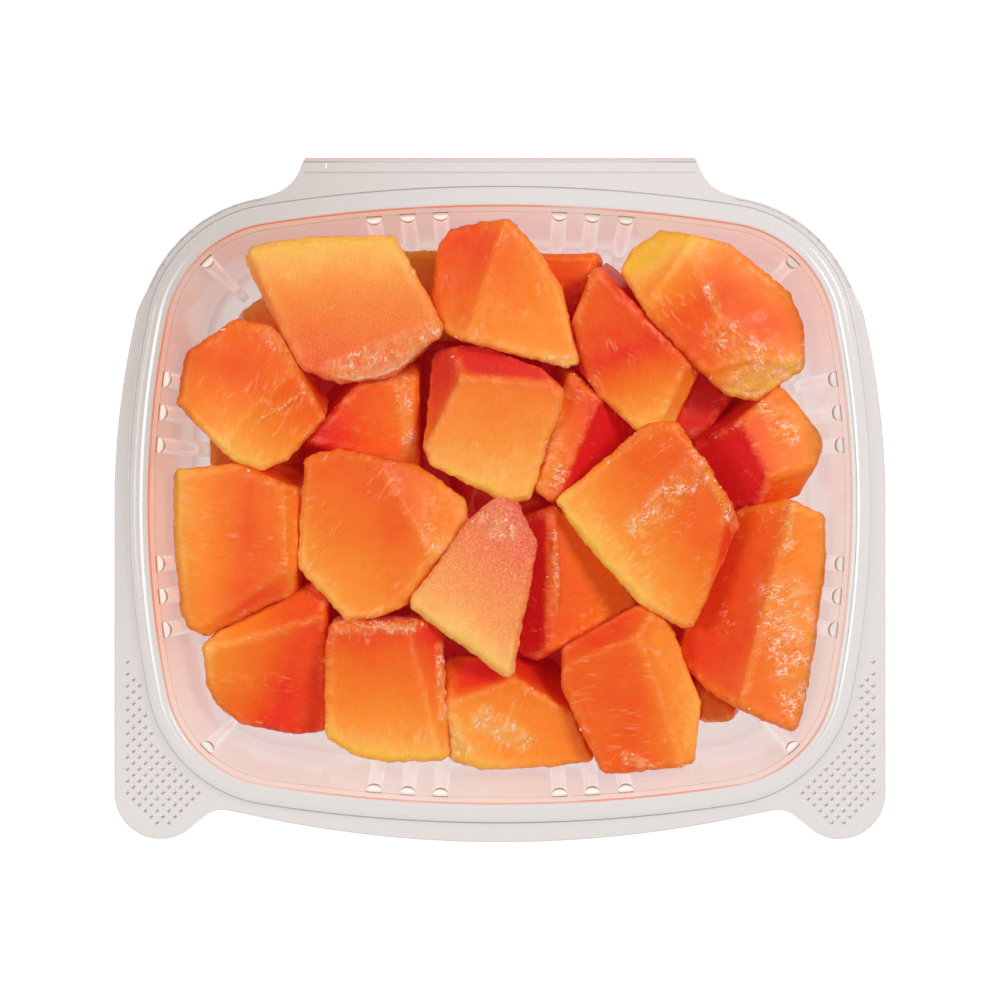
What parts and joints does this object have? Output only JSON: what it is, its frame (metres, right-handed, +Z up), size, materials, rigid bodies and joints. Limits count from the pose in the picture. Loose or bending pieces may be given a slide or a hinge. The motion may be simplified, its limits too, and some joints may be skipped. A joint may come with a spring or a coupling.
{
  "type": "tub of papaya chunks",
  "caption": "Open clear plastic tub with a flanged rim, hinge strip and grip tabs, filled with a pile of hand-cut chunks of ripe papaya.",
  "frame": {"origin": "on the table under the middle of the flange's outline, at the tub's flat underside", "axes": "+X to the tub's right along its long side, +Y to the hinge strip at the back, +Z up"},
  "size_m": [0.184, 0.1632, 0.046],
  "materials": {
    "clear_plastic": "clear thermoformed plastic sheet, glossy, 0.6 mm thick",
    "yellow_flesh": "wet ripe papaya flesh, yellow next to the peel and orange inside",
    "orange_flesh": "wet ripe papaya flesh, orange with fine fibres",
    "red_flesh": "wet ripe papaya flesh from next to the seed hollow, deep orange-red"
  },
  "bodies": {
    "root": {"tub": "clear_plastic", "chunk_wedge_on_top": "orange_flesh", "chunk_middle": "orange_flesh", "chunk_right_of_middle": "orange_flesh", "chunk_back_left": "yellow_flesh", "chunk_back_right": "yellow_flesh", "chunk_back_middle": "orange_flesh", "chunk_left_back": "yellow_flesh", "chunk_left_of_middle": "orange_flesh", "chunk_back_right_leaning": "orange_flesh", "chunk_front_right": "orange_flesh", "chunk_front_left": "orange_flesh", "chunk_right_front": "orange_flesh", "chunk_left": "yellow_flesh", "chunk_red_middle": "red_flesh", "chunk_front_middle": "orange_flesh", "chunk_left_front": "orange_flesh", "chunk_right": "red_flesh", "chunk_behind_middle": "orange_flesh", "chunk_left_gap": "red_flesh", "chunk_low_back_right": "red_flesh", "chunk_low_back": "yellow_flesh", "chunk_low_back_left": "orange_flesh", "chunk_low_left": "orange_flesh", "chunk_low_front_right": "yellow_flesh", "chunk_low_middle": "red_flesh", "chunk_low_under_middle": "red_flesh", "chunk_low_right": "red_flesh", "chunk_low_centre": "red_flesh"}
  },
  "joints": []
}
